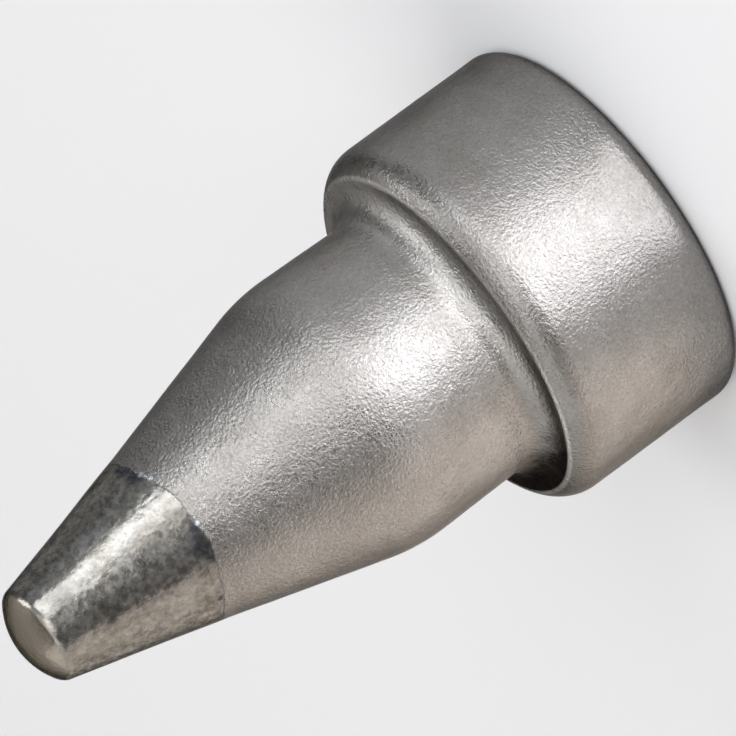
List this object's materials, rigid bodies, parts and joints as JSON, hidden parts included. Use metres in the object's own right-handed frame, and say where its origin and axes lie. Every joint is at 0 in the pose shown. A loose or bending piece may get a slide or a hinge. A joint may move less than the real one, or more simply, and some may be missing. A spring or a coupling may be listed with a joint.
{
  "type": "desoldering tip",
  "caption": "Turned desoldering nozzle: wide flanged collar with a heater socket, short neck, long cone and a tinned, rounded nose closed by solder.",
  "frame": {"origin": "centre of the collar's flat back face, on the nozzle's axis", "axes": "+Z along the axis of turning, from the back face towards the tinned nose; +X and +Y are any two radii"},
  "size_m": [0.01, 0.01, 0.0182],
  "materials": {
    "plated_metal": "satin blasted grey plating over copper, with a glossier solder-tinned nose"
  },
  "bodies": {
    "root": {"desoldering_nozzle": "plated_metal"}
  },
  "joints": []
}
